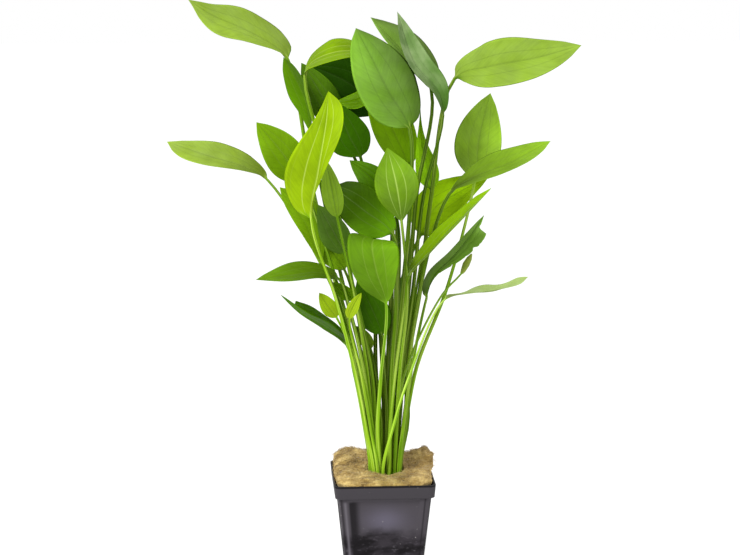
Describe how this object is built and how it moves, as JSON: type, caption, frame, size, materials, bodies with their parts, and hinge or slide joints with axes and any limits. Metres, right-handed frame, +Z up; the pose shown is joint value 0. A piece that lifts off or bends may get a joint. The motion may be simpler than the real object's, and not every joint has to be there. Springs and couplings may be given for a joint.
{
  "type": "potted echinodorus argentinensis",
  "caption": "Tall pond and aquarium plant with broad leaves on long stalks, growing out of brown rock wool in a tapered square black plastic pot.",
  "frame": {"origin": "middle of the pot's underside", "axes": "+Z up the plant, and -Y towards the side that the picture shows"},
  "size_m": [0.364, 0.1576, 0.517],
  "materials": {
    "pot": "glossy dark grey plastic, scuffed and smudged",
    "rock_wool": "matt fibrous brown rock wool",
    "rootstock": "matt pale brown rootstock",
    "lime_leaf": "satin, bright yellow green",
    "fresh_leaf": "satin, light green",
    "mid_leaf": "satin, mid green",
    "grey_leaf": "satin, grey green",
    "olive_leaf": "satin, olive green",
    "deep_leaf": "satin, deep green",
    "darkest_leaf": "satin, very dark green",
    "flower_stalk": "satin, olive brown bud"
  },
  "bodies": {
    "root": {"pot": "pot", "rock_wool": "rock_wool", "rootstock": "rootstock", "leaf_top_left": "fresh_leaf", "leaf_under_top_left": "mid_leaf", "leaf_arching_left": "lime_leaf", "leaf_tallest": "fresh_leaf", "leaf_top_folded": "mid_leaf", "leaf_top_grey": "grey_leaf", "leaf_right_high": "fresh_leaf", "leaf_right_upright": "mid_leaf", "leaf_front_bright": "lime_leaf", "leaf_right_pointing": "mid_leaf", "leaf_right_broad": "olive_leaf", "leaf_right_narrow": "lime_leaf", "leaf_centre_veined": "fresh_leaf", "leaf_behind_tallest": "olive_leaf", "leaf_twisted": "mid_leaf", "leaf_left_middle": "mid_leaf", "leaf_far_left": "fresh_leaf", "leaf_left_hidden": "mid_leaf", "leaf_left_low": "mid_leaf", "leaf_left_folded": "mid_leaf", "leaf_small_upright": "lime_leaf", "leaf_spoon": "lime_leaf", "leaf_small_dark": "deep_leaf", "leaf_dark_centre": "deep_leaf", "leaf_dark_low": "deep_leaf", "leaf_centre_front": "mid_leaf", "leaf_dark_upper": "deep_leaf", "leaf_dark_middle": "deep_leaf", "leaf_mottled": "deep_leaf", "leaf_pale_narrow": "grey_leaf", "leaf_shaded_left": "grey_leaf", "leaf_darkest": "darkest_leaf", "leaf_right_twisted": "deep_leaf", "leaf_right_low": "fresh_leaf", "leaf_under_arch": "darkest_leaf", "leaf_back_left": "grey_leaf", "leaf_lit_edge": "lime_leaf", "flower_stalk": "flower_stalk"}
  },
  "joints": []
}
